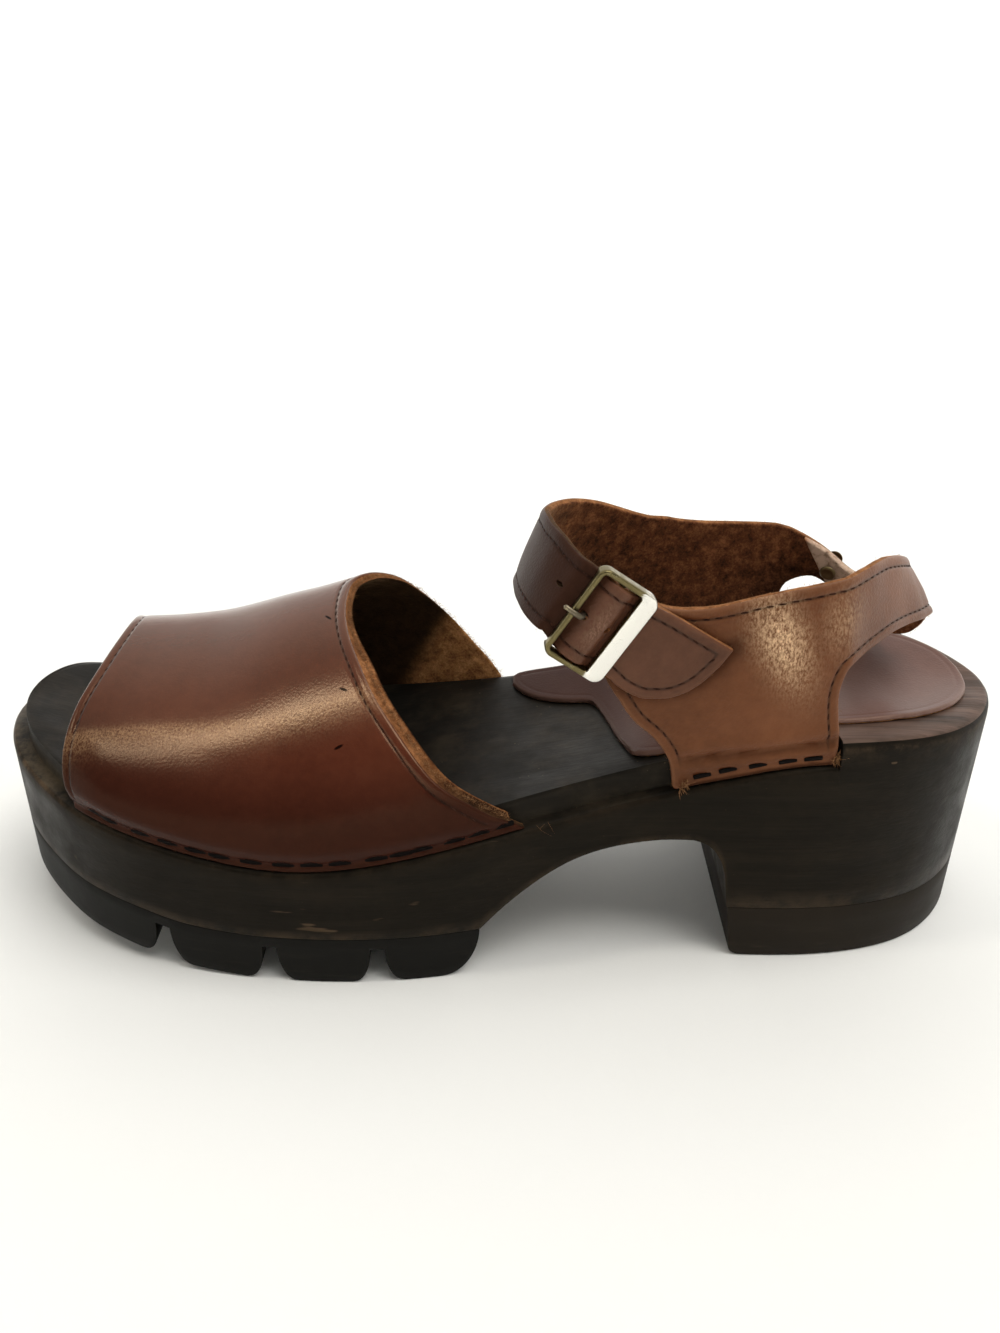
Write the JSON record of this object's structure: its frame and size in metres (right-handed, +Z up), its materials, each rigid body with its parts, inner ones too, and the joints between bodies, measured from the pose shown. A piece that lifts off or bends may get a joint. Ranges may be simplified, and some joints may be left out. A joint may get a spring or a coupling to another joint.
{
  "type": "platform clog sandal",
  "caption": "Left open-toe platform clog sandal with a dark wooden sole, lugged rubber treads, stapled leather vamp and a buckled slingback ankle strap.",
  "frame": {"origin": "centre of the shoe's bounding box, on the floor that the sole stands on", "axes": "+X along the shoe towards the heel, toe at -X; -Y is the outer side with the buckle, +Y the inner side; +Z up"},
  "size_m": [0.265, 0.0884, 0.1154],
  "materials": {
    "dark_wood": "dark stained wood, satin, worn at the edges",
    "black_rubber": "matt black rubber",
    "lift_rubber": "matt black-brown rubber",
    "pad_leather": "smooth mauve-brown leather, satin",
    "vamp_leather": "red-brown leather, polished satin",
    "quarter_leather": "tan-brown leather, satin, worn gloss",
    "strap_leather": "dark brown leather, matt",
    "rivet_brass_upper": "aged brass",
    "rivet_brass_lower": "aged brass",
    "frame_brass": "aged brass, polished on the wide bar",
    "prong_brass": "aged brass, dull"
  },
  "bodies": {
    "root": {"sole_block": "dark_wood", "forefoot_outsole": "black_rubber", "heel_toplift": "lift_rubber", "heel_pad": "pad_leather", "vamp": "vamp_leather", "quarter_slingback": "quarter_leather", "ankle_strap": "strap_leather", "rivet_upper": "rivet_brass_upper", "rivet_lower": "rivet_brass_lower", "buckle_frame": "frame_brass", "buckle_prong": "prong_brass"}
  },
  "joints": []
}
